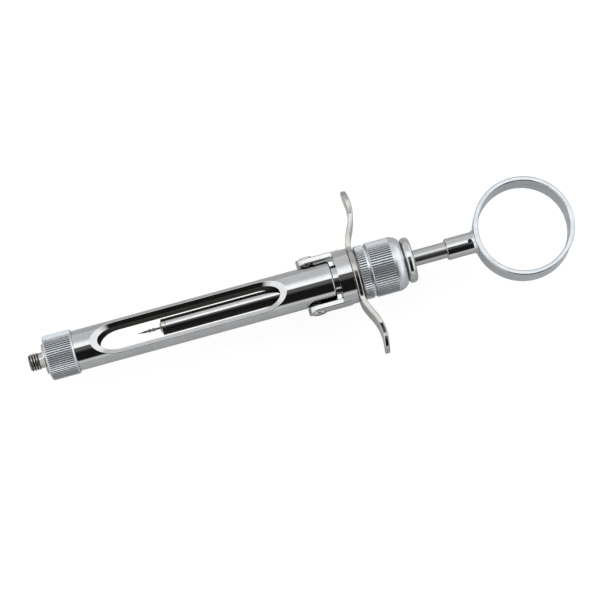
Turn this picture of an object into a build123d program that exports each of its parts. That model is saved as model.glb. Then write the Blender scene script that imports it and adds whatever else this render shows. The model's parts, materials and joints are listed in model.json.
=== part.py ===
from build123d import *

# Aspirating dental syringe, breech loading, in millimetres.
# The origin is the centre of the needle adaptor's front face. +X runs along the instrument to the
# thumb ring, the finger grip's wings point along +Y and -Y, and +Z is the axis of the thumb ring.

import os

# Clearances
RUNNING = 0.05
THREAD_GAP = 0.02

# Needle adaptor
NEEDLE_BORE = 0.9
THREAD_RADIUS = 2.75
THREAD_DEPTH = 0.4
THREAD_PITCH = 0.8
THREAD_TURNS = 4
NECK_RADIUS = 2.45
FLANGE_RADIUS = 4.7
FLANGE_START = 4.7
FLANGE_FILLET = 0.25
SHANK_RADIUS = 3.0
NOSE_RADIUS = 1.6
NOSE_LENGTH = 1.2

# Front cap
CAP_START = 5.5
CAP_END = 14.5
CAP_RADIUS = 7.0
CAP_WALL = 2.5
CAP_ROUNDING = 0.9
CAP_REAR_BAND = 0.4
CAP_TEETH = 64
KNURL_DEPTH = 0.26

# Barrel
SEAL_THICKNESS = 0.8
SPIGOT_RADIUS = 5.6
BARREL_START = 14.8
BARREL_END = 95.8
BARREL_RADIUS = 6.25
BORE_RADIUS = 4.6
REAR_ROUNDING = 0.6
MOUTH_CHAMFER = 0.3

# Barrel windows: slots with elliptical ends whose edges slope outwards
WINDOW_CENTRE = 50.5
WINDOW_STRAIGHT = 43.8
WINDOW_LEVEL = 4.0
WINDOW_HALF_WIDTH = 4.75
WINDOW_END = 6.0
WINDOW_INNER_LEVEL = 2.2
WINDOW_OUTER_LEVEL = 6.6
WINDOW_SLOPE = 1.25
WINDOW_LIP = 0.2

# Fold pivot
PIVOT_X = 89.3
SCREW_THREAD_RADIUS = 1.0
SCREW_THREAD_START = 4.75
SCREW_SHOULDER_RADIUS = 1.3
SCREW_HEAD_RADIUS = 2.2
SCREW_HEAD_START = 7.8
SCREW_HEAD_END = 9.1
SCREW_SLOT = 0.5
SCREW_SLOT_DEPTH = 0.45
PIVOT_WASHER_RADIUS = 2.0
PIVOT_WASHER_THICKNESS = 0.25

# Fork collar and its two arms
COLLAR_START = 97.4
COLLAR_END = 102.1
COLLAR_RADIUS = 8.55
COLLAR_CHAMFER = 0.3
ARM_INNER = 6.6
ARM_OUTER_RADIUS = 8.8
ARM_HALF_HEIGHT = 3.2
ARM_ROOT_FILLET = 0.8
ARM_EDGE_FILLET = 0.3
TUBE_RADIUS = 6.9
TUBE_END = 112.0
CHAMBER_START = 105.0
CHAMBER_RADIUS = 6.0

# Finger grip, bent from a strip
GRIP_THICKNESS = 1.6
GRIP_HALF_SPAN = 26.2
GRIP_FLAT = 7.4
GRIP_FIRST_BEND = 10.0
GRIP_SWEEP = 25
GRIP_SLOPE_RUN = 3.0
GRIP_SECOND_BEND = 15.0
GRIP_RETURN = 8
GRIP_TIP_RUN = 4.3
GRIP_ROOT_WIDTH = 17.8
GRIP_TIP_WIDTH = 9.6
GRIP_EDGE_FILLET = 0.45

# Lock washer and lock ring
LOCK_WASHER_THICKNESS = 0.45
LOCK_WASHER_RADIUS = 7.4
LOCK_RING_END = 107.5
LOCK_RING_RADIUS = 8.4
LOCK_NECK_RADIUS = 8.0
LOCK_NECK_START = 106.8
LOCK_RING_CHAMFER = 0.35
HOUSING_TEETH = 68

# Spring housing
HOUSING_START = 107.6
HOUSING_KNURL_END = 114.8
HOUSING_END = 118.0
HOUSING_RADIUS = 8.5
HOUSING_REAR_RADIUS = 6.9
HOUSING_WALL_START = 116.9
HOUSING_CHAMFER = 0.35

# Guide sleeve, which is sprung forward into the barrel's mouth
SLEEVE_NOSE_START = 94.6
SLEEVE_NOSE_LENGTH = 1.3
SLEEVE_RADIUS = BORE_RADIUS - RUNNING
SLEEVE_SHOULDER_RADIUS = 5.85
SLEEVE_SHOULDER_LENGTH = 1.2
SLEEVE_TAIL_RADIUS = 3.2
SLEEVE_TAIL_END = 118.4
O_RING_GROOVE_START = 102.6
O_RING_GROOVE_WIDTH = 1.2
O_RING_SECTION = 0.5

# Pull collar, screwed on the sleeve's tail
PULL_SHANK_RADIUS = 4.0
PULL_START = 118.25
PULL_END = 121.2
PULL_RADIUS = 7.1
PULL_RIM_FILLET = 1.35
PULL_RECESS_RADIUS = 3.6

# Latch spring
SPRING_RADIUS = 4.95
SPRING_WIRE = 0.4
SPRING_PITCH = 1.55
SPRING_END_GAP = 0.05
SEAT_THICKNESS = 0.4

# Plunger rod, piston tip and harpoon
ROD_RADIUS = 2.5
TIP_START = 41.1
TIP_SHOULDER = 41.8
TIP_END = 43.0
TIP_NOSE_RADIUS = 0.9
TIP_BEVEL = 0.12
TIP_STUD_RADIUS = 1.2
TIP_STUD_LENGTH = 3.5
HARPOON_START = 33.9
HARPOON_RADIUS = 0.33
HARPOON_POINT_LENGTH = 2.4
HARPOON_BARBS = (37.2, 38.4)
HARPOON_BARB_RADIUS = 0.62
HARPOON_BARB_LENGTH = 0.9
HARPOON_STUD_RADIUS = 0.6
HARPOON_STUD_LENGTH = 3.0
ROD_END = 140.1
SWIVEL_GROOVE_CENTRE = 139.15
SWIVEL_GROOVE_WIDTH = 1.5
SWIVEL_GROOVE_RADIUS = 1.9

# Ring stem and thumb ring
STEM_START = 131.6
STEM_RADIUS = 3.35
STEM_CHAMFER = 0.3
STEM_SOCKET_END = 140.2
STEM_FLARE_START = 140.0
STEM_FLARE_RADIUS = 3.9
STEM_FLARE_LENGTH = 1.1
STEM_SCREW_RADIUS = 0.65
STEM_SCREW_TOP = 2.75
STEM_SCREW_SOCKET = 0.3
RING_CENTRE = 156.2
RING_OUTER_RADIUS = 15.5
RING_INNER_RADIUS = 13.95
RING_WIDTH = 9.5
RING_EDGE_FILLET = 0.4


def turn(*outline, mode=Mode.ADD):
    """Turn a closed outline of (x, radius) points about the instrument's axis."""
    with BuildSketch(Plane.XY) as profile:
        with BuildLine():
            Polyline(*outline, close=True)
        make_face()
    revolve(profile.sketch, axis=Axis.X, mode=mode)


def knurl(radius, start, end, teeth):
    """Cut straight V grooves along a cylindrical surface."""
    side = KNURL_DEPTH * 2**0.5
    with BuildSketch(Plane.YZ.offset(start)) as grooves:
        with PolarLocations(radius, teeth):
            Rectangle(side, side, rotation=45)
    extrude(grooves.sketch, amount=end - start, mode=Mode.SUBTRACT)


def washer(start, end, inner, outer):
    """Make a plain washer about the instrument's axis."""
    turn((start, inner), (start, outer), (end, outer), (end, inner))


def axis_distance(edge):
    """Distance of an edge's middle from the instrument's axis."""
    return (edge @ 0.5).cross(Vector(1, 0, 0)).length


os.makedirs("parts", exist_ok=True)

# Needle adaptor: threaded hub, neck, flange and the shank that screws into the cap
SEAL_START = CAP_START + CAP_WALL
thread_root = THREAD_RADIUS - THREAD_DEPTH
crest = THREAD_PITCH / 4
thread_outline = [(0, NEEDLE_BORE)]
for turn_index in range(THREAD_TURNS):
    turn_start = turn_index * THREAD_PITCH
    thread_outline += [
        (turn_start, thread_root),
        (turn_start + crest, THREAD_RADIUS),
        (turn_start + 2 * crest, THREAD_RADIUS),
        (turn_start + 3 * crest, thread_root),
    ]
thread_length = THREAD_TURNS * THREAD_PITCH
with BuildPart() as needle_adaptor:
    turn(
        *thread_outline,
        (thread_length, thread_root),
        (thread_length, NECK_RADIUS),
        (FLANGE_START, NECK_RADIUS),
        (FLANGE_START, FLANGE_RADIUS),
        (CAP_START, FLANGE_RADIUS),
        (CAP_START, SHANK_RADIUS),
        (SEAL_START, SHANK_RADIUS),
        (SEAL_START + NOSE_LENGTH, NOSE_RADIUS),
        (SEAL_START + NOSE_LENGTH, NEEDLE_BORE),
    )
    rim = needle_adaptor.edges().filter_by(GeomType.CIRCLE).group_by(SortBy.RADIUS)[-1]
    fillet(rim, radius=FLANGE_FILLET)
needle_adaptor.part.label = "needle_adaptor"
export_step(needle_adaptor.part, "parts/needle_adaptor.step")

# Front cap: a knurled cup with a hole for the adaptor's shank
with BuildPart() as front_cap:
    turn(
        (CAP_START, SHANK_RADIUS + THREAD_GAP),
        (CAP_START, CAP_RADIUS),
        (CAP_END, CAP_RADIUS),
        (CAP_END, SPIGOT_RADIUS + THREAD_GAP),
        (SEAL_START, SPIGOT_RADIUS + THREAD_GAP),
        (SEAL_START, SHANK_RADIUS + THREAD_GAP),
    )
    corners = front_cap.edges().filter_by(GeomType.CIRCLE).group_by(SortBy.RADIUS)[-1]
    fillet(corners.sort_by(Axis.X)[0], radius=CAP_ROUNDING)
    chamfer(corners.sort_by(Axis.X)[-1], length=CAP_REAR_BAND)
    knurl(CAP_RADIUS, CAP_START, CAP_END - CAP_REAR_BAND, CAP_TEETH)
front_cap.part.label = "front_cap"
export_step(front_cap.part, "parts/front_cap.step")

# Cartridge seal: the washer that the cartridge's cap seats on
SPIGOT_START = SEAL_START + SEAL_THICKNESS
with BuildPart() as cartridge_seal:
    washer(SEAL_START, SPIGOT_START, SHANK_RADIUS + RUNNING, SPIGOT_RADIUS)
cartridge_seal.part.label = "cartridge_seal"
export_step(cartridge_seal.part, "parts/cartridge_seal.step")

# Barrel: a tube with a front spigot, a chamfered rear mouth and two long windows
with BuildPart() as barrel:
    turn(
        (SPIGOT_START, BORE_RADIUS),
        (SPIGOT_START, SPIGOT_RADIUS),
        (BARREL_START, SPIGOT_RADIUS),
        (BARREL_START, BARREL_RADIUS),
        (BARREL_END, BARREL_RADIUS),
        (BARREL_END, BORE_RADIUS + MOUTH_CHAMFER),
        (BARREL_END - MOUTH_CHAMFER, BORE_RADIUS),
    )
    widest = barrel.edges().filter_by(GeomType.CIRCLE).group_by(SortBy.RADIUS)[-1]
    fillet(widest.sort_by(Axis.X)[-1], radius=REAR_ROUNDING)
    for face_side in (1, -1):
        for level in (WINDOW_INNER_LEVEL, WINDOW_OUTER_LEVEL):
            opening = WINDOW_SLOPE * (level - WINDOW_LEVEL)
            half_width = WINDOW_HALF_WIDTH + opening
            with BuildSketch(Plane((WINDOW_CENTRE, 0, face_side * level))):
                Rectangle(WINDOW_STRAIGHT, 2 * half_width)
                with Locations((WINDOW_STRAIGHT / 2, 0), (-WINDOW_STRAIGHT / 2, 0)):
                    Ellipse(WINDOW_END + opening, half_width)
        loft(ruled=True, mode=Mode.SUBTRACT)
    lips = barrel.edges().filter_by(
        lambda edge: abs(axis_distance(edge) - BARREL_RADIUS) < RUNNING
        and BARREL_START < (edge @ 0.5).X < PIVOT_X
        and edge.geom_type != GeomType.CIRCLE
    )
    fillet(lips, radius=WINDOW_LIP)
    with Locations((PIVOT_X, 0, 0)):
        Cylinder(
            SCREW_THREAD_RADIUS + THREAD_GAP,
            2 * BARREL_RADIUS,
            rotation=(90, 0, 0),
            mode=Mode.SUBTRACT,
        )
barrel.part.label = "barrel"
export_step(barrel.part, "parts/barrel.step")

# Pivot screws: slotted heads in the arms, shoulders that turn in them, threads in the barrel's wall
pivot_axis = Axis((PIVOT_X, 0, 0), (0, 1, 0))
with BuildPart() as pivot_screws:
    with BuildSketch(Plane((PIVOT_X, 0, 0))):
        with BuildLine():
            Polyline(
                (0, SCREW_THREAD_START),
                (SCREW_THREAD_RADIUS, SCREW_THREAD_START),
                (SCREW_THREAD_RADIUS, BARREL_RADIUS),
                (SCREW_SHOULDER_RADIUS, BARREL_RADIUS),
                (SCREW_SHOULDER_RADIUS, SCREW_HEAD_START),
                (SCREW_HEAD_RADIUS, SCREW_HEAD_START),
                (SCREW_HEAD_RADIUS, SCREW_HEAD_END),
                (0, SCREW_HEAD_END),
                close=True,
            )
        make_face()
    revolve(axis=pivot_axis)
    head_rims = pivot_screws.edges().filter_by(GeomType.CIRCLE).group_by(SortBy.RADIUS)[-1]
    fillet(head_rims.sort_by(Axis.Y)[-1], radius=SCREW_SLOT_DEPTH)
    with Locations((PIVOT_X, SCREW_HEAD_END, 0)):
        Box(SCREW_HEAD_END, 2 * SCREW_SLOT_DEPTH, SCREW_SLOT, mode=Mode.SUBTRACT)
    mirror(about=Plane.XZ)
pivot_screws.part.label = "pivot_screws"
export_step(pivot_screws.part, "parts/pivot_screws.step")

# Pivot washers: fill the space between the barrel and the arms
with BuildPart() as pivot_washers:
    with BuildSketch(Plane((PIVOT_X, ARM_INNER - THREAD_GAP, 0), z_dir=(0, -1, 0))):
        Circle(PIVOT_WASHER_RADIUS)
        Circle(SCREW_SHOULDER_RADIUS + RUNNING, mode=Mode.SUBTRACT)
    extrude(amount=PIVOT_WASHER_THICKNESS)
    mirror(about=Plane.XZ)
pivot_washers.part.label = "pivot_washers"
export_step(pivot_washers.part, "parts/pivot_washers.step")

# Fork collar: polished ring with two arms ahead of it and a threaded tube behind it
with BuildPart() as fork_collar:
    turn(
        (COLLAR_START, BORE_RADIUS),
        (COLLAR_START, COLLAR_RADIUS),
        (COLLAR_END - COLLAR_CHAMFER, COLLAR_RADIUS),
        (COLLAR_END, COLLAR_RADIUS - COLLAR_CHAMFER),
        (COLLAR_END, TUBE_RADIUS),
        (TUBE_END, TUBE_RADIUS),
        (TUBE_END, CHAMBER_RADIUS),
        (CHAMBER_START, CHAMBER_RADIUS),
        (CHAMBER_START, BORE_RADIUS),
    )
    arm_depth = ARM_OUTER_RADIUS - ARM_INNER
    arm_root = (COLLAR_START + COLLAR_END) / 2
    for arm_side in (1, -1):
        arm_face = Plane((PIVOT_X, arm_side * ARM_INNER, 0), x_dir=(1, 0, 0), z_dir=(0, arm_side, 0))
        with BuildSketch(arm_face):
            Circle(ARM_HALF_HEIGHT)
            with Locations(((arm_root - PIVOT_X) / 2, 0)):
                Rectangle(arm_root - PIVOT_X, 2 * ARM_HALF_HEIGHT)
        extrude(amount=arm_depth)
    with Locations((PIVOT_X, 0, 0)):
        Cylinder(ARM_OUTER_RADIUS, 2 * TUBE_END, rotation=(0, 90, 0), mode=Mode.INTERSECT)
    arm_edges = fork_collar.edges().filter_by(
        lambda edge: edge.center().X < COLLAR_START - RUNNING and edge.length > arm_depth
    )
    fillet(arm_edges, radius=ARM_EDGE_FILLET)
    roots = fork_collar.edges().filter_by(Axis.Z).filter_by_position(
        Axis.X, COLLAR_START - RUNNING, COLLAR_START + RUNNING
    )
    fillet(roots.group_by(SortBy.LENGTH)[-1], radius=ARM_ROOT_FILLET)
    with Locations((PIVOT_X, 0, 0)):
        Cylinder(
            SCREW_SHOULDER_RADIUS + RUNNING,
            2 * ARM_OUTER_RADIUS,
            rotation=(90, 0, 0),
            mode=Mode.SUBTRACT,
        )
    head_seat = SCREW_HEAD_START - RUNNING
    for arm_side in (1, -1):
        with Locations((PIVOT_X, arm_side * (head_seat + arm_depth), 0)):
            Cylinder(
                SCREW_HEAD_RADIUS + RUNNING,
                2 * arm_depth,
                rotation=(90, 0, 0),
                mode=Mode.SUBTRACT,
            )
fork_collar.part.label = "fork_collar"
export_step(fork_collar.part, "parts/fork_collar.step")

# Finger grip: a strip bent in the XY plane, narrowed to round tips, with a hole for the tube
grip_x = COLLAR_END + GRIP_THICKNESS / 2
with BuildPart() as finger_grip:
    with BuildSketch(Plane.XY.offset(-GRIP_ROOT_WIDTH / 2)):
        with BuildLine() as bend:
            flat = Line((grip_x, 0), (grip_x, GRIP_FLAT))
            first = JernArc(flat @ 1, flat % 1, GRIP_FIRST_BEND, -GRIP_SWEEP)
            slope = Line(first @ 1, first @ 1 + GRIP_SLOPE_RUN * (first % 1))
            second = JernArc(slope @ 1, slope % 1, GRIP_SECOND_BEND, GRIP_SWEEP + GRIP_RETURN)
            Line(second @ 1, second @ 1 + GRIP_TIP_RUN * (second % 1))
        trace(bend.line, line_width=GRIP_THICKNESS)
        mirror(about=Plane.XZ)
    extrude(amount=GRIP_ROOT_WIDTH)
    tip_radius = GRIP_TIP_WIDTH / 2
    root_half = GRIP_ROOT_WIDTH / 2
    tip_shoulder = GRIP_HALF_SPAN - tip_radius
    with BuildSketch(Plane.YZ.offset(COLLAR_END - GRIP_ROOT_WIDTH)):
        with BuildLine():
            Line((0, root_half), (GRIP_FLAT, root_half))
            Spline(
                (GRIP_FLAT, root_half),
                (tip_shoulder, tip_radius),
                tangents=((1, 0), (1, 0)),
            )
            RadiusArc((tip_shoulder, tip_radius), (GRIP_HALF_SPAN, 0), tip_radius)
            Line((GRIP_HALF_SPAN, 0), (0, 0))
            Line((0, 0), (0, root_half))
        make_face()
        mirror(about=Plane.XZ)
        mirror(about=Plane.YZ)
    extrude(amount=2 * GRIP_ROOT_WIDTH, mode=Mode.INTERSECT)
    bend_lines = finger_grip.edges().filter_by(Axis.Z)
    thickness_lines = finger_grip.edges().filter_by(Plane.XY).filter_by(
        lambda edge: edge.length < GRIP_THICKNESS + RUNNING
    )
    fillet(finger_grip.edges() - bend_lines - thickness_lines, radius=GRIP_EDGE_FILLET)
    with Locations((grip_x, 0, 0)):
        Cylinder(
            TUBE_RADIUS + THREAD_GAP,
            2 * GRIP_THICKNESS,
            rotation=(0, 90, 0),
            mode=Mode.SUBTRACT,
        )
finger_grip.part.label = "finger_grip"
export_step(finger_grip.part, "parts/finger_grip.step")

# Lock washer: thin washer behind the grip
lock_washer_start = COLLAR_END + GRIP_THICKNESS
lock_ring_start = lock_washer_start + LOCK_WASHER_THICKNESS
with BuildPart() as lock_washer:
    washer(lock_washer_start, lock_ring_start, TUBE_RADIUS + THREAD_GAP, LOCK_WASHER_RADIUS)
lock_washer.part.label = "lock_washer"
export_step(lock_washer.part, "parts/lock_washer.step")

# Lock ring: knurled nut with a plain neck
with BuildPart() as lock_ring:
    turn(
        (lock_ring_start, TUBE_RADIUS + THREAD_GAP),
        (lock_ring_start, LOCK_RING_RADIUS - LOCK_RING_CHAMFER),
        (lock_ring_start + LOCK_RING_CHAMFER, LOCK_RING_RADIUS),
        (LOCK_NECK_START, LOCK_RING_RADIUS),
        (LOCK_NECK_START, LOCK_NECK_RADIUS),
        (LOCK_RING_END, LOCK_NECK_RADIUS),
        (LOCK_RING_END, TUBE_RADIUS + THREAD_GAP),
    )
    knurl(LOCK_RING_RADIUS, lock_ring_start, LOCK_NECK_START, HOUSING_TEETH)
lock_ring.part.label = "lock_ring"
export_step(lock_ring.part, "parts/lock_ring.step")

# Spring housing: knurled barrel, rounded off behind, screwed on the collar's tube
with BuildPart() as spring_housing:
    with BuildSketch(Plane.XY):
        with BuildLine():
            Polyline(
                (HOUSING_END, HOUSING_REAR_RADIUS),
                (HOUSING_END, PULL_SHANK_RADIUS + RUNNING),
                (HOUSING_WALL_START, PULL_SHANK_RADIUS + RUNNING),
                (HOUSING_WALL_START, CHAMBER_RADIUS),
                (TUBE_END + RUNNING, CHAMBER_RADIUS),
                (TUBE_END + RUNNING, TUBE_RADIUS + THREAD_GAP),
                (HOUSING_START, TUBE_RADIUS + THREAD_GAP),
                (HOUSING_START, HOUSING_RADIUS - HOUSING_CHAMFER),
                (HOUSING_START + HOUSING_CHAMFER, HOUSING_RADIUS),
                (HOUSING_KNURL_END, HOUSING_RADIUS),
            )
            TangentArc(
                (HOUSING_KNURL_END, HOUSING_RADIUS),
                (HOUSING_END, HOUSING_REAR_RADIUS),
                tangent=(1, 0),
            )
        make_face()
    revolve(axis=Axis.X)
    knurl(HOUSING_RADIUS, HOUSING_START + HOUSING_CHAMFER, HOUSING_KNURL_END, HOUSING_TEETH)
spring_housing.part.label = "spring_housing"
export_step(spring_housing.part, "parts/spring_housing.step")

# Guide sleeve: coned nose, shoulder for the spring, threaded tail and a groove for the O-ring
rod_bore = ROD_RADIUS + RUNNING
nose_base = SLEEVE_NOSE_START + SLEEVE_NOSE_LENGTH
shoulder_end = CHAMBER_START + SLEEVE_SHOULDER_LENGTH
groove_end = O_RING_GROOVE_START + O_RING_GROOVE_WIDTH
groove_radius = rod_bore + 2 * O_RING_SECTION + RUNNING
with BuildPart() as guide_sleeve:
    turn(
        (SLEEVE_NOSE_START, rod_bore),
        (SLEEVE_NOSE_START, SLEEVE_RADIUS - SLEEVE_NOSE_LENGTH),
        (nose_base, SLEEVE_RADIUS),
        (CHAMBER_START, SLEEVE_RADIUS),
        (CHAMBER_START, SLEEVE_SHOULDER_RADIUS),
        (shoulder_end, SLEEVE_SHOULDER_RADIUS),
        (shoulder_end, SLEEVE_TAIL_RADIUS),
        (SLEEVE_TAIL_END, SLEEVE_TAIL_RADIUS),
        (SLEEVE_TAIL_END, rod_bore),
        (groove_end, rod_bore),
        (groove_end, groove_radius),
        (O_RING_GROOVE_START, groove_radius),
        (O_RING_GROOVE_START, rod_bore),
    )
guide_sleeve.part.label = "guide_sleeve"
export_step(guide_sleeve.part, "parts/guide_sleeve.step")

# Rod O-ring: gives the plunger the drag that holds it where it is put
o_ring_centre = (O_RING_GROOVE_START + O_RING_GROOVE_WIDTH / 2, 0, 0)
with BuildPart() as rod_o_ring:
    with Locations(o_ring_centre):
        Torus(rod_bore + O_RING_SECTION, O_RING_SECTION, rotation=(0, 90, 0))
rod_o_ring.part.label = "rod_o_ring"
export_step(rod_o_ring.part, "parts/rod_o_ring.step")

# Pull collar: hollow shank inside the housing, rounded rim behind it, recessed for the stem
with BuildPart() as pull_collar:
    turn(
        (shoulder_end, SLEEVE_TAIL_RADIUS + THREAD_GAP),
        (shoulder_end, PULL_SHANK_RADIUS),
        (PULL_START, PULL_SHANK_RADIUS),
        (PULL_START, PULL_RADIUS),
        (PULL_END, PULL_RADIUS),
        (PULL_END, PULL_RECESS_RADIUS),
        (SLEEVE_TAIL_END, PULL_RECESS_RADIUS),
        (SLEEVE_TAIL_END, SLEEVE_TAIL_RADIUS + THREAD_GAP),
    )
    rims = pull_collar.edges().filter_by(GeomType.CIRCLE).group_by(SortBy.RADIUS)[-1]
    fillet(rims, radius=PULL_RIM_FILLET)
pull_collar.part.label = "pull_collar"
export_step(pull_collar.part, "parts/pull_collar.step")

# Spring seat and latch spring, sealed inside the housing
seat_start = HOUSING_WALL_START - SEAT_THICKNESS
with BuildPart() as spring_seat:
    washer(seat_start, HOUSING_WALL_START, PULL_SHANK_RADIUS + 2 * RUNNING, CHAMBER_RADIUS - RUNNING)
spring_seat.part.label = "spring_seat"
export_step(spring_seat.part, "parts/spring_seat.step")

spring_start = shoulder_end + SPRING_WIRE + SPRING_END_GAP
spring_end = seat_start - SPRING_WIRE - SPRING_END_GAP
with BuildPart() as latch_spring:
    with BuildLine() as coil:
        Helix(
            SPRING_PITCH,
            spring_end - spring_start,
            SPRING_RADIUS,
            center=(spring_start, 0, 0),
            direction=(1, 0, 0),
        )
    with BuildSketch(Plane(coil.line @ 0, z_dir=coil.line % 0)):
        Circle(SPRING_WIRE)
    sweep(path=coil.line, is_frenet=True)
latch_spring.part.label = "latch_spring"
export_step(latch_spring.part, "parts/latch_spring.step")

# Plunger rod: bored in front for the tip's stud, grooved behind for the stem's screw
groove_half = SWIVEL_GROOVE_WIDTH / 2
stud_end = TIP_END + TIP_STUD_LENGTH
with BuildPart() as plunger_rod:
    turn(
        (TIP_END, TIP_STUD_RADIUS),
        (TIP_END, ROD_RADIUS - TIP_BEVEL),
        (TIP_END + TIP_BEVEL, ROD_RADIUS),
        (SWIVEL_GROOVE_CENTRE - groove_half, ROD_RADIUS),
        (SWIVEL_GROOVE_CENTRE - groove_half, SWIVEL_GROOVE_RADIUS),
        (SWIVEL_GROOVE_CENTRE + groove_half, SWIVEL_GROOVE_RADIUS),
        (SWIVEL_GROOVE_CENTRE + groove_half, ROD_RADIUS),
        (ROD_END, ROD_RADIUS),
        (ROD_END, 0),
        (stud_end, 0),
        (stud_end, TIP_STUD_RADIUS),
    )
plunger_rod.part.label = "plunger_rod"
export_step(plunger_rod.part, "parts/plunger_rod.step")

# Piston tip: a blunt cone that pushes the cartridge's plunger
tip_bore = HARPOON_STUD_RADIUS + THREAD_GAP
harpoon_stud_end = TIP_START + HARPOON_STUD_LENGTH
with BuildPart() as piston_tip:
    turn(
        (TIP_START, tip_bore),
        (TIP_START, TIP_NOSE_RADIUS),
        (TIP_SHOULDER, ROD_RADIUS),
        (TIP_END - TIP_BEVEL, ROD_RADIUS),
        (TIP_END, ROD_RADIUS - TIP_BEVEL),
        (TIP_END, TIP_STUD_RADIUS - THREAD_GAP),
        (stud_end, TIP_STUD_RADIUS - THREAD_GAP),
        (stud_end, 0),
        (harpoon_stud_end, 0),
        (harpoon_stud_end, tip_bore),
    )
piston_tip.part.label = "piston_tip"
export_step(piston_tip.part, "parts/piston_tip.step")

# Harpoon: barbed needle on a threaded stud
barb_outline = []
for barb_start in HARPOON_BARBS:
    barb_end = barb_start + HARPOON_BARB_LENGTH
    barb_outline += [
        (barb_start, HARPOON_RADIUS),
        (barb_end, HARPOON_BARB_RADIUS),
        (barb_end, HARPOON_RADIUS),
    ]
with BuildPart() as harpoon:
    turn(
        (HARPOON_START, 0),
        (HARPOON_START + HARPOON_POINT_LENGTH, HARPOON_RADIUS),
        *barb_outline,
        (TIP_START, HARPOON_RADIUS),
        (TIP_START, HARPOON_STUD_RADIUS),
        (harpoon_stud_end, HARPOON_STUD_RADIUS),
        (harpoon_stud_end, 0),
    )
harpoon.part.label = "harpoon"
export_step(harpoon.part, "parts/harpoon.step")

# Ring stem: socket for the rod, flared where it is brazed to the ring
with BuildPart() as ring_stem:
    turn(
        (STEM_START, rod_bore),
        (STEM_START, STEM_RADIUS - STEM_CHAMFER),
        (STEM_START + STEM_CHAMFER, STEM_RADIUS),
        (STEM_FLARE_START, STEM_RADIUS),
        (STEM_FLARE_START + STEM_FLARE_LENGTH, STEM_FLARE_RADIUS),
        (STEM_FLARE_START + 2 * STEM_FLARE_LENGTH, STEM_FLARE_RADIUS),
        (STEM_FLARE_START + 2 * STEM_FLARE_LENGTH, 0),
        (STEM_SOCKET_END, 0),
        (STEM_SOCKET_END, rod_bore),
    )
    with Locations((RING_CENTRE, 0, 0)):
        Cylinder(RING_OUTER_RADIUS, 2 * RING_WIDTH, mode=Mode.SUBTRACT)
    with BuildSketch(Plane((SWIVEL_GROOVE_CENTRE, 0, 0))):
        Circle(STEM_SCREW_RADIUS + THREAD_GAP)
    extrude(amount=STEM_RADIUS + RUNNING, mode=Mode.SUBTRACT)
ring_stem.part.label = "ring_stem"
export_step(ring_stem.part, "parts/ring_stem.step")

# Stem grub screw: runs in the rod's groove, so that the ring turns but can't come off
screw_bottom = SWIVEL_GROOVE_RADIUS + 2 * RUNNING
with BuildPart() as stem_grub_screw:
    with BuildSketch(Plane((SWIVEL_GROOVE_CENTRE, 0, screw_bottom))):
        Circle(STEM_SCREW_RADIUS)
    extrude(amount=STEM_SCREW_TOP - screw_bottom)
    with BuildSketch(Plane((SWIVEL_GROOVE_CENTRE, 0, STEM_SCREW_TOP))):
        RegularPolygon(STEM_SCREW_RADIUS / 2, 6)
    extrude(amount=-STEM_SCREW_SOCKET, mode=Mode.SUBTRACT)
stem_grub_screw.part.label = "stem_grub_screw"
export_step(stem_grub_screw.part, "parts/stem_grub_screw.step")

# Thumb ring: a wide band with softened edges
with BuildPart() as thumb_ring:
    with BuildSketch(Plane((RING_CENTRE, 0, -RING_WIDTH / 2))):
        Circle(RING_OUTER_RADIUS)
        Circle(RING_INNER_RADIUS, mode=Mode.SUBTRACT)
    extrude(amount=RING_WIDTH)
    fillet(thumb_ring.edges().filter_by(GeomType.CIRCLE), radius=RING_EDGE_FILLET)
thumb_ring.part.label = "thumb_ring"
export_step(thumb_ring.part, "parts/thumb_ring.step")
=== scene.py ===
import json
import math

import bmesh
import bpy
from mathutils import Matrix, Vector


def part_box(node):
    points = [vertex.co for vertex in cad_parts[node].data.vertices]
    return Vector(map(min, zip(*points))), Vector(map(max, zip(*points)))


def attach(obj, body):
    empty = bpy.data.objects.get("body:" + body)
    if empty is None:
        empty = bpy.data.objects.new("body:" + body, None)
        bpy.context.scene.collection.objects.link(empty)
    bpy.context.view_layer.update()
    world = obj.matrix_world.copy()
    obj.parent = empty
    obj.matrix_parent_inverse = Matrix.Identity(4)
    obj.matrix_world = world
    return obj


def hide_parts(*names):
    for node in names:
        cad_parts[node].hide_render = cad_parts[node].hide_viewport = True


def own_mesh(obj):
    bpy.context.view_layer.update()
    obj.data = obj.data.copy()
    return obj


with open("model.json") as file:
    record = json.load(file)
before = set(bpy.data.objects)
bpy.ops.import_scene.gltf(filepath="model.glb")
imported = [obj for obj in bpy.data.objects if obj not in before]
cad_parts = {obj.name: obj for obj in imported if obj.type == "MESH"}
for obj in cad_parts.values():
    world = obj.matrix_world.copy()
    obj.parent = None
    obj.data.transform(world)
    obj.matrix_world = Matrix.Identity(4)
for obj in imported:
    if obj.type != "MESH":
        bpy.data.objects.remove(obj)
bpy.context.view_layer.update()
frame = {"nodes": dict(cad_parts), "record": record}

MM = 0.001
nodes = frame["nodes"]
# Low enough for the thumb ring to turn on edge without cutting through it
FLOOR_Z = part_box("thumb_ring")[0].y - 0.3 * MM


# ---------------------------------------------------------------- node helpers

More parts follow.
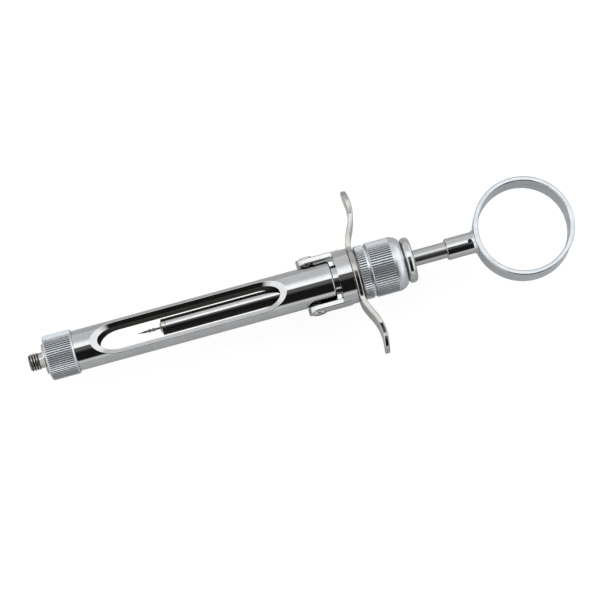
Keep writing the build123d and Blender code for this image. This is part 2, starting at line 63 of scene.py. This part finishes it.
class Shader:
    """Small helper that adds and links the nodes of one material or world."""

    def __init__(self, tree):
        self.tree = tree
        tree.nodes.clear()

    def add(self, kind, **inputs):
        node = self.tree.nodes.new(kind)
        for name, value in inputs.items():
            self.put(node, name.replace("_", " "), value)
        return node

    def put(self, node, socket, value):
        target = node.inputs[socket]
        if isinstance(value, bpy.types.NodeSocket):
            self.tree.links.new(value, target)
        else:
            target.default_value = value

    def maths(self, operation, *values):
        node = self.tree.nodes.new("ShaderNodeMath")
        node.operation = operation
        for index, value in enumerate(values):
            self.put(node, index, value)
        return node.outputs[0]

    def ramp(self, value, low, high, to_low=0.0, to_high=1.0, smooth=True):
        node = self.tree.nodes.new("ShaderNodeMapRange")
        node.interpolation_type = "SMOOTHSTEP" if smooth else "LINEAR"
        sockets = ("Value", "From Min", "From Max", "To Min", "To Max")
        for socket, number in zip(sockets, (value, low, high, to_low, to_high)):
            self.put(node, socket, number)
        return node.outputs["Result"]

    def mix(self, factor, first, second):
        node = self.tree.nodes.new("ShaderNodeMix")
        node.data_type = "RGBA"
        self.put(node, 0, factor)
        self.put(node, 6, first)
        self.put(node, 7, second)
        return node.outputs[2]

    def scaled(self, stretch):
        """Object coordinates in metres, stretched by a factor along each axis."""
        coordinates = self.add("ShaderNodeTexCoord").outputs["Object"]
        node = self.tree.nodes.new("ShaderNodeMapping")
        self.put(node, "Vector", coordinates)
        self.put(node, "Scale", stretch)
        return node.outputs["Vector"]

    def noise(self, stretch, detail=3.0, roughness=0.55, distortion=0.0):
        node = self.tree.nodes.new("ShaderNodeTexNoise")
        self.put(node, "Vector", self.scaled(stretch))
        self.put(node, "Scale", 1.0)
        self.put(node, "Detail", detail)
        self.put(node, "Roughness", roughness)
        self.put(node, "Distortion", distortion)
        return node.outputs["Fac"]

    def cylinder_place(self):
        """Distance of a point from the instrument's axis, and its place along it, in metres."""
        place = self.add("ShaderNodeSeparateXYZ", Vector=self.scaled((1, 1, 1)))
        across, up = place.outputs["Y"], place.outputs["Z"]
        across_squared = self.maths("MULTIPLY", across, across)
        up_squared = self.maths("MULTIPLY", up, up)
        radius = self.maths("SQRT", self.maths("ADD", across_squared, up_squared))
        return radius, place.outputs["X"]

    def bump(self, height, distance, strength=1.0, normal=None):
        node = self.tree.nodes.new("ShaderNodeBump")
        self.put(node, "Height", height)
        self.put(node, "Distance", distance)
        self.put(node, "Strength", strength)
        if normal is not None:
            self.put(node, "Normal", normal)
        return node.outputs["Normal"]


def grey(value, tint=(1.0, 1.0, 1.0)):
    return (value * tint[0], value * tint[1], value * tint[2], 1.0)


# ---------------------------------------------------------------- materials

COOL = (0.985, 1.0, 1.015)
BLUISH = (0.95, 1.0, 1.05)
WARM = (1.03, 1.0, 0.96)
STRAW = (1.08, 1.0, 0.86)
NEUTRAL = (1.0, 1.0, 1.0)

# Noise scales along X, Y and Z, per metre, that make the grain run one way or another
RINGS = (16000, 500, 500)
LENGTHWISE = (500, 16000, 16000)
ROUND_THE_RING = (900, 900, 9000)
ALONG_THE_WINGS = (500, 500, 9000)
ALL_WAYS = (2500, 2500, 2500)

ZONE_FADE = 0.1
BEVEL_SAMPLES = 4
# Roughness of the painted shade in grooves and bores
PAINTED_SHADE_ROUGHNESS = 0.6


def metal(name, tint, tones, roughness, grain, grain_depth, zone=None, soft_edge=0.0):
    """Plated or polished metal. Its tone drifts between two greys of one tint. Its roughness runs
    from the first value to the second over smudges and fine scratches. The grain is a stretched
    noise, grain_depth mm deep, that stands for lapping or brushing marks.
    A zone is (outer radius, inner radius, start, end, colour, roughness): between those stations
    along the instrument, whatever lies nearer the axis takes another colour and roughness. The
    knurled, threaded and bored finishes use it to paint shade into grooves and the bore, the
    handled one for dulling. Soft_edge is the radius in mm over which sharp edges catch light."""
    material = bpy.data.materials.new(name)
    material.use_nodes = True
    shader = Shader(material.node_tree)
    smooth, rough = roughness
    clouds = shader.noise((260, 260, 260), detail=4.0, distortion=0.6)
    smudge = shader.ramp(shader.noise((90, 140, 140), detail=5.0, distortion=1.2), 0.42, 0.72)
    lines = shader.noise(grain, detail=2.0, roughness=0.4)
    scratches = shader.ramp(shader.noise((900, 5200, 5200), detail=1.0), 0.66, 0.74)
    bright, dull = (grey(tone, tint) for tone in tones)
    colour = shader.mix(shader.ramp(clouds, 0.3, 0.7), bright, dull)
    worn = shader.maths("MULTIPLY", scratches, 0.5)
    level = shader.maths("MAXIMUM", shader.maths("MULTIPLY", smudge, 0.55), worn)
    finish = shader.ramp(level, 0.0, 1.0, smooth, rough, smooth=False)
    # A zone paints shade into grooves and bores, and dulling onto a handled rod
    if zone:
        outer, inner, start, end, zone_colour, zone_roughness = zone
        radius, along = shader.cylinder_place()
        depth = shader.ramp(radius, outer * MM, inner * MM)
        ahead = shader.ramp(along, (start - ZONE_FADE) * MM, (start + ZONE_FADE) * MM)
        behind = shader.ramp(along, (end + ZONE_FADE) * MM, (end - ZONE_FADE) * MM)
        depth = shader.maths("MULTIPLY", depth, shader.maths("MULTIPLY", ahead, behind))
        colour = shader.mix(depth, colour, zone_colour)
        finish = shader.ramp(depth, 0.0, 1.0, finish, zone_roughness)
    edge_normal = None
    if soft_edge:
        edge = shader.add("ShaderNodeBevel", Radius=soft_edge * MM)
        edge.samples = BEVEL_SAMPLES
        edge_normal = edge.outputs[0]
    surface = shader.add(
        "ShaderNodeBsdfPrincipled",
        Base_Color=colour,
        Metallic=1.0,
        Roughness=finish,
        Normal=shader.bump(lines, grain_depth * MM, normal=edge_normal),
    )
    output = shader.add("ShaderNodeOutputMaterial")
    shader.put(output, "Surface", surface.outputs["BSDF"])
    return material


def rubber(name, colour, worn):
    """Moulded silicone: matt, with a fine grain and slightly paler where it is handled."""
    material = bpy.data.materials.new(name)
    material.use_nodes = True
    shader = Shader(material.node_tree)
    grain = shader.noise(ALL_WAYS, detail=3.0)
    dust = shader.ramp(shader.noise((420, 420, 420), detail=5.0), 0.45, 0.7)
    surface = shader.add(
        "ShaderNodeBsdfPrincipled",
        Base_Color=shader.mix(dust, colour, worn),
        Roughness=shader.ramp(grain, 0.3, 0.7, 0.5, 0.68),
        Normal=shader.bump(grain, 0.02 * MM),
    )
    output = shader.add("ShaderNodeOutputMaterial")
    shader.put(output, "Surface", surface.outputs["BSDF"])
    return material


def knurled(name, crest, start, end, tone=0.8):
    """Satin nickel with painted shade, near black, in the knurl's grooves."""
    # Painted shade: a near-black colour in the knurl's grooves, where shade falls
    groove_shade = (crest - 0.06, crest - 0.26, start, end, grey(0.11, BLUISH), PAINTED_SHADE_ROUGHNESS)
    return metal(name, BLUISH, (tone, 0.88 * tone), (0.32, 0.46), RINGS, 0.004, zone=groove_shade)


def threaded(name, crest, start, end):
    """Polished steel with painted shade, near black, in the thread's roots."""
    # Painted shade: a near-black colour in the thread's roots, where shade falls
    groove_shade = (crest - 0.08, crest - 0.36, start, end, grey(0.08, WARM), PAINTED_SHADE_ROUGHNESS)
    return metal(name, WARM, (0.56, 0.46), (0.1, 0.22), RINGS, 0.002, zone=groove_shade)


def mirror(name, grain_depth, **extra):
    """Mirror chrome."""
    return metal(name, COOL, (0.58, 0.53), (0.03, 0.1), LENGTHWISE, grain_depth, **extra)


def bored(name, radius, start, end):
    """Mirror chrome outside, over a bore painted dull and dark brown: painted shade inside the
    bore.
    """
    # Painted shade: a dark brownish colour inside the bore, where shade falls
    bore_shade = (radius + 0.05, radius + 0.015, start, end, grey(0.11, STRAW), PAINTED_SHADE_ROUGHNESS)
    return mirror(name, 0.0004, zone=bore_shade)


def handled(name, radius, start, end):
    """Mirror chrome that handling has dulled between two stations."""
    dulled = (radius + 0.3, radius + 0.1, start, end, grey(0.5, COOL), 0.24)
    return mirror(name, 0.0008, zone=dulled)


FINISH = {
    "mirror_chrome": mirror("mirror_chrome", 0.0004, soft_edge=0.05),
    "polished_steel": metal(
        "polished_steel", WARM, (0.56, 0.46), (0.08, 0.2), LENGTHWISE, 0.002, soft_edge=0.05
    ),
    "satin_chrome": metal(
        "satin_chrome", BLUISH, (0.58, 0.5), (0.2, 0.32), ROUND_THE_RING, 0.004
    ),
    "dark_steel": metal("dark_steel", NEUTRAL, (0.22, 0.12), (0.3, 0.45), RINGS, 0.004),
    "spring_steel": metal("spring_steel", NEUTRAL, (0.4, 0.3), (0.2, 0.35), ALL_WAYS, 0.003),
    "seal_rubber": rubber("seal_rubber", grey(0.02), grey(0.04)),
    "satin_nickel": knurled("satin_nickel", 7.0, 5.9, 13.9),
}
OWN_FINISH = {
    "lock_ring": knurled("lock_ring_nickel", 8.4, 104.3, 106.7),
    "spring_housing": knurled("housing_nickel", 8.5, 108.1, 114.7, tone=0.7),
    "barrel": bored("bored_chrome", 4.6, 8.0, 95.0),
    "plunger_rod": handled("rod_chrome", 2.5, 119.0, 140.0),
    "harpoon": metal("harpoon_steel", WARM, (0.2, 0.12), (0.15, 0.3), LENGTHWISE, 0.002),
    "finger_grip": metal(
        "grip_steel", WARM, (0.48, 0.36), (0.12, 0.3), ALONG_THE_WINGS, 0.004
    ),
    # Painted shade: the grub screw is near black to stand in for the shade in its recess
    "stem_grub_screw": metal(
        "recess_shade_steel", NEUTRAL, (0.04, 0.02), (0.3, 0.45), RINGS, 0.004
    ),
}
for subpart in frame["record"]["subparts"]:
    node = subpart["node"]
    finish = OWN_FINISH.get(node, FINISH[subpart["material_slot"]])
    nodes[node].material_slots[0].material = finish


def smooth_thing(name, shape, sharp_angle):
    """A new object from a bmesh, shaded smooth but for edges sharper than that angle in degrees."""
    mesh = bpy.data.meshes.new(name)
    shape.to_mesh(mesh)
    shape.free()
    for attribute in [layer for layer in mesh.attributes if layer.name == "custom_normal"]:
        mesh.attributes.remove(attribute)
    mesh.polygons.foreach_set("use_smooth", [True] * len(mesh.polygons))
    mesh.set_sharp_from_angle(angle=math.radians(sharp_angle))
    thing = bpy.data.objects.new(name, mesh)
    bpy.context.scene.collection.objects.link(thing)
    return thing


# ---------------------------------------------------------------- threaded needle adaptor

THREAD_RADIUS = 2.75
THREAD_DEPTH = 0.42
THREAD_PITCH = 0.8
THREAD_START = 0.12
THREAD_END = 3.2
RUN_OUT = 0.35
RUN_OUT_PAST_END = 0.1
FRONT_CHAMFER = 0.12
FLAT_CREST = 1.35
FLAT_ROOT = 0.12
ADAPTOR_BORE = 0.9
ADAPTOR_NECK = 2.45

# Station along the axis and radius, in mm, from behind the thread to the back of the bore
ADAPTOR_PROFILE = (
    (3.35, 2.36),
    (3.5, ADAPTOR_NECK),
    (4.55, ADAPTOR_NECK),
    (4.68, 2.53),
    (4.7, 2.7),
    (4.7, 4.42),
    (4.74, 4.56),
    (4.84, 4.66),
    (4.98, 4.7),
    (5.25, 4.7),
    (5.4, 4.66),
    (5.48, 4.56),
    (5.5, 4.4),
    (5.5, 3.0),
    (8.0, 3.0),
    (9.2, 1.6),
    (9.2, ADAPTOR_BORE),
)


def thread_height(turns):
    """1 on the crest and 0 in the root of a rounded thread, from the turns gone by."""
    wave = 0.5 + 0.5 * math.cos(math.tau * turns)
    return min(1.0, max(0.0, FLAT_CREST * wave - FLAT_ROOT))


def thread_radius(along, angle):
    """Radius of the thread at a station along it and an angle round it, both ends running out."""
    past_start = (along - THREAD_START) / RUN_OUT
    before_end = (THREAD_END + RUN_OUT_PAST_END - along) / RUN_OUT
    fade = max(0.0, min(1.0, past_start, before_end))
    height = thread_height(along / THREAD_PITCH - angle / math.tau)
    return THREAD_RADIUS - THREAD_DEPTH + THREAD_DEPTH * fade * height


def threaded_adaptor(name, sides=120, steps=66):
    """A closed turned shape whose front part carries a real helix."""
    chamfered = THREAD_RADIUS - THREAD_DEPTH - FRONT_CHAMFER
    rows = [lambda angle: (0.0, ADAPTOR_BORE), lambda angle: (0.0, chamfered)]
    for step in range(steps + 1):
        along = THREAD_START + (THREAD_END - THREAD_START) * step / steps
        rows.append(lambda angle, along=along: (along, thread_radius(along, angle)))
    for station in ADAPTOR_PROFILE:
        rows.append(lambda angle, station=station: station)
    shape = bmesh.new()
    rings = []
    for row in rows:
        ring = []
        for side in range(sides):
            angle = math.tau * side / sides
            along, radius = row(angle)
            place = Vector((along, radius * math.cos(angle), radius * math.sin(angle)))
            ring.append(shape.verts.new(place * MM))
        rings.append(ring)
    for first, second in zip(rings, rings[1:] + rings[:1]):
        for side in range(sides):
            after = (side + 1) % sides
            shape.faces.new((first[side], second[side], second[after], first[after]))
    bmesh.ops.recalc_face_normals(shape, faces=shape.faces)
    return smooth_thing(name, shape, sharp_angle=40)


adaptor = threaded_adaptor("threaded_needle_adaptor")
adaptor.data.materials.append(threaded("adaptor_steel", THREAD_RADIUS, 0.1, THREAD_END))
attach(adaptor, "barrel_group")
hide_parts("needle_adaptor")


# ---------------------------------------------------------------- finger grip

ROOT_RADIUS = 8.9
WING_HALF_WIDTH = 5.4
SHARPNESS = 12
RIM = 0.6
RIM_MARGIN = 0.1
TUBE_KEEP = 6.5
CUT_SPACING = 0.4
CUT_REACH = 20.0
ON_CUT = 1e-3
SAME_PLACE = 1e-7


def drawn_in(height, width, station):
    """Height of a point over the XY plane once the plate's edge there, at width, is drawn in to a
    round root with narrower wings; the rim keeps its section, and the tube's hole its shape."""
    root = math.sqrt(max(0.0, ROOT_RADIUS**2 - station**2))
    outline = (root**SHARPNESS + WING_HALF_WIDTH**SHARPNESS) ** (1 / SHARPNESS)
    target = min(width, outline)
    keep = min(TUBE_KEEP, target - RIM - RIM_MARGIN)
    if height > width - RIM:
        return height - (width - target)
    if height > keep:
        return keep + (height - keep) * (target - RIM - keep) / (width - RIM - keep)
    return height


def round_rooted_grip(name):
    """A copy of the CAD grip, cut across at close stations, with its straight edges drawn in."""
    shape = bmesh.new()
    shape.from_mesh(nodes["finger_grip"].data)
    bmesh.ops.remove_doubles(shape, verts=shape.verts, dist=SAME_PLACE)
    last = round(CUT_REACH / CUT_SPACING)
    for cut in range(-last, last + 1):
        bmesh.ops.bisect_plane(
            shape,
            geom=shape.verts[:] + shape.edges[:] + shape.faces[:],
            plane_co=(0, cut * CUT_SPACING * MM, 0),
            plane_no=(0, 1, 0),
            dist=SAME_PLACE,
        )
    widths = {}
    for vertex in shape.verts:
        cut = round(vertex.co.y / MM / CUT_SPACING)
        if abs(vertex.co.y / MM - cut * CUT_SPACING) < ON_CUT:
            widths[cut] = max(widths.get(cut, 0.0), abs(vertex.co.z) / MM)
    for vertex in shape.verts:
        place = vertex.co.y / MM / CUT_SPACING
        below = math.floor(place)
        if below not in widths or below + 1 not in widths:
            continue
        share = place - below
        width = widths[below] * (1 - share) + widths[below + 1] * share
        height = drawn_in(abs(vertex.co.z) / MM, width, vertex.co.y / MM)
        vertex.co.z = math.copysign(height * MM, vertex.co.z)
    return smooth_thing(name, shape, sharp_angle=32)


grip = round_rooted_grip("round_rooted_grip")
grip.data.materials.clear()
grip.data.materials.append(OWN_FINISH["finger_grip"])
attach(grip, "handle")
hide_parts("finger_grip")


# ---------------------------------------------------------------- latch spring

spring = nodes["latch_spring"].copy()
spring.data = spring.data.copy()
spring.name = "coiled_latch_spring"
bpy.context.scene.collection.objects.link(spring)
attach(spring, "handle")
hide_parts("latch_spring")
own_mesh(spring)


# ---------------------------------------------------------------- floor

FLOOR_RADIUS = 6.0
FLOOR_BOUNCE = 0.66
FLOOR_GLOW = 0.9
FLOOR_MATT = 0.16


def disc(name, radius, height, sides=96):
    """A flat round face. Radius and height are in metres."""
    mesh = bpy.data.meshes.new(name)
    corners = [
        (radius * math.cos(math.tau * k / sides), radius * math.sin(math.tau * k / sides), height)
        for k in range(sides)
    ]
    mesh.from_pydata(corners, [], [tuple(range(sides))])
    thing = bpy.data.objects.new(name, mesh)
    bpy.context.scene.collection.objects.link(thing)
    return thing


# The floor is white paper: glowing and matt to the camera, matt alone to all other rays
floor_paint = bpy.data.materials.new("floor_paint")
floor_paint.use_nodes = True
shader = Shader(floor_paint.node_tree)
paper = shader.add("ShaderNodeBsdfDiffuse", Color=grey(FLOOR_BOUNCE))
glow = shader.add("ShaderNodeEmission", Color=grey(1.0), Strength=FLOOR_GLOW)
matt = shader.add("ShaderNodeBsdfDiffuse", Color=grey(FLOOR_MATT))
backdrop = shader.add("ShaderNodeAddShader")
shader.put(backdrop, 0, glow.outputs[0])
shader.put(backdrop, 1, matt.outputs[0])
choice = shader.add("ShaderNodeMixShader")
shader.put(choice, 0, shader.add("ShaderNodeLightPath").outputs["Is Camera Ray"])
shader.put(choice, 1, paper.outputs[0])
shader.put(choice, 2, backdrop.outputs[0])
shader.put(shader.add("ShaderNodeOutputMaterial"), "Surface", choice.outputs[0])

floor = disc("floor", FLOOR_RADIUS, FLOOR_Z)
floor.data.materials.append(floor_paint)


# ---------------------------------------------------------------- studio light

# A white tent with a brighter box overhead and a black strip beside it. Tilts are in degrees from
# overhead towards +Y, and each pair is where a soft step starts and ends.
BOX_NEAR_EDGE = (2, 6)
BOX_FAR_EDGE = (46, 16)
STRIP_FAR_EDGE = (-80, -70)
STRIP_NEAR_EDGE = (5, 1)
STRIP_GREY_PART = (-26, -12)

# The same along the instrument: the share of a direction that points along X
BOX_ENDS = (0.85, 0.6)
STRIP_ENDS = (0.56, 0.3)
TENT_ENDS = (0.5, 0.8)

BOX_LIGHT = 1.7
TENT_LIGHT = 0.86
TENT_END_LIGHT = 1.45
STRIP_BLACK = 0.015
STRIP_GREY = 0.16
BACKDROP = 0.97

world = bpy.data.worlds.new("studio")
bpy.context.scene.world = world
world.use_nodes = True
sky = Shader(world.node_tree)
outward = sky.add("ShaderNodeTexCoord").outputs["Generated"]
direction = sky.add("ShaderNodeSeparateXYZ", Vector=outward)
tilt = sky.maths("ARCTAN2", direction.outputs["Y"], direction.outputs["Z"])
aside = sky.maths("ABSOLUTE", direction.outputs["X"])


def tilt_step(edge):
    """0 before that tilt and 1 past it, or the other way round if the edge runs down."""
    return sky.ramp(tilt, math.radians(edge[0]), math.radians(edge[1]))


def light_patch(first_edge, second_edge, ends):
    """1 between two tilts and away from the ends of the tent, and 0 elsewhere."""
    band = sky.maths("MULTIPLY", tilt_step(first_edge), tilt_step(second_edge))
    return sky.maths("MULTIPLY", band, sky.ramp(aside, *ends))


soft_box = light_patch(BOX_NEAR_EDGE, BOX_FAR_EDGE, BOX_ENDS)
dark_strip = light_patch(STRIP_FAR_EDGE, STRIP_NEAR_EDGE, STRIP_ENDS)
wall = sky.mix(sky.ramp(aside, *TENT_ENDS), grey(TENT_LIGHT), grey(TENT_END_LIGHT))
tent = sky.mix(soft_box, wall, grey(BOX_LIGHT))
shade = sky.mix(tilt_step(STRIP_GREY_PART), grey(STRIP_BLACK), grey(STRIP_GREY))
light = sky.mix(dark_strip, tent, shade)
is_camera = sky.add("ShaderNodeLightPath").outputs["Is Camera Ray"]
seen = sky.mix(is_camera, light, grey(BACKDROP))
background = sky.add("ShaderNodeBackground", Color=seen, Strength=1.0)
sky.put(sky.add("ShaderNodeOutputWorld"), "Surface", background.outputs[0])


# ---------------------------------------------------------------- camera

CAMERA_PLACE = Vector((68.8, -127.8, 627.2)) * MM
CAMERA_TARGET = Vector((84.5, -3.1, 0.0)) * MM
CAMERA_ROLL = math.radians(15.57)
CAMERA_FIELD = math.radians(16.3)
NEAREST = 0.05
FARTHEST = 50.0

camera_data = bpy.data.cameras.new("camera")
camera = bpy.data.objects.new("camera", camera_data)
bpy.context.scene.collection.objects.link(camera)
bpy.context.scene.camera = camera
backward = (CAMERA_PLACE - CAMERA_TARGET).normalized()
level = Vector((0, 1, 0)).cross(backward).normalized()
right = Matrix.Rotation(-CAMERA_ROLL, 3, backward) @ level
upward = backward.cross(right)
turn = Matrix((right, upward, backward)).transposed().to_4x4()
camera.matrix_world = Matrix.Translation(CAMERA_PLACE) @ turn
camera_data.angle = CAMERA_FIELD
camera_data.clip_start = NEAREST
camera_data.clip_end = FARTHEST
bpy.context.scene.view_settings.view_transform = "Standard"
